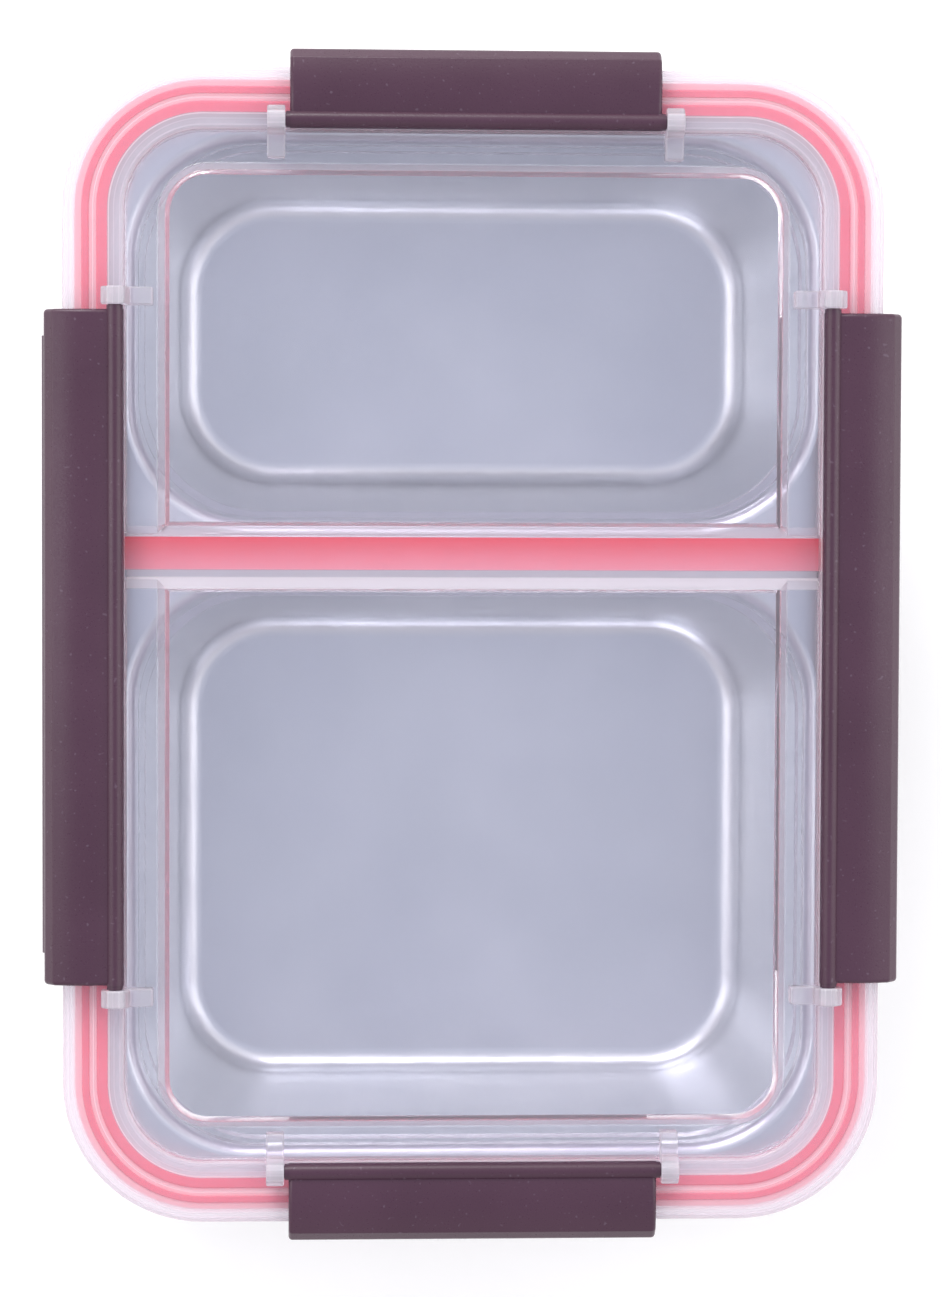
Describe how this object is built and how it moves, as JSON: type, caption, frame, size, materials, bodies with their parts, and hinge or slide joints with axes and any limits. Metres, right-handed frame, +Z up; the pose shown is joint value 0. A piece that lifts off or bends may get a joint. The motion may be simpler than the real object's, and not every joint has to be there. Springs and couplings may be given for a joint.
{
  "type": "bento lunch box",
  "caption": "Divided lunch box of pressed steel with a clear lid, silicone seals and side latches that swing up to release the lid.",
  "frame": {"origin": "on the surface the box rests on, under the middle of the lid", "axes": "+Z up through the lid, +Y along the length towards the smaller compartment, +X across the width"},
  "size_m": [0.1696, 0.2346, 0.0602],
  "materials": {
    "steel": "satin pressed stainless steel, bright on its rounded edges",
    "clear_plastic": "clear, slightly milky polypropylene",
    "silicone": "soft matt silicone",
    "latch_plastic": "satin moulded plastic with a fine grain"
  },
  "bodies": {
    "tray": {"tray": "steel"},
    "lid": {"lid": "clear_plastic", "seal_ring": "silicone", "divider_seal": "silicone"},
    "latch_right": {"latch_right": "latch_plastic"},
    "latch_rear": {"latch_rear": "latch_plastic"},
    "latch_left": {"latch_left": "latch_plastic"},
    "latch_front": {"latch_front": "latch_plastic"}
  },
  "joints": [
    {"name": "lid_lift", "type": "slide", "parent": "tray", "child": "lid", "axis": [0, 0, 1], "range_m": [0, 0.035]},
    {"name": "latch_right_hinge", "type": "hinge", "parent": "lid", "child": "latch_right", "pos_m": [0.0697, 0, 0.0579], "axis": [0, -1, 0], "range_deg": [0, 140]},
    {"name": "latch_rear_hinge", "type": "hinge", "parent": "lid", "child": "latch_rear", "pos_m": [0, 0.1022, 0.0579], "axis": [1, 0, 0], "range_deg": [0, 140]},
    {"name": "latch_left_hinge", "type": "hinge", "parent": "lid", "child": "latch_left", "pos_m": [-0.0697, 0, 0.0579], "axis": [0, 1, 0], "range_deg": [0, 140]},
    {"name": "latch_front_hinge", "type": "hinge", "parent": "lid", "child": "latch_front", "pos_m": [0, -0.1022, 0.0579], "axis": [-1, 0, 0], "range_deg": [0, 140]}
  ],
  "couplings": [
    {"joint": "latch_right_hinge", "follows": "lid_lift", "rad_per_m": 69.813},
    {"joint": "latch_rear_hinge", "follows": "lid_lift", "rad_per_m": 69.813},
    {"joint": "latch_left_hinge", "follows": "lid_lift", "rad_per_m": 69.813},
    {"joint": "latch_front_hinge", "follows": "lid_lift", "rad_per_m": 69.813}
  ]
}
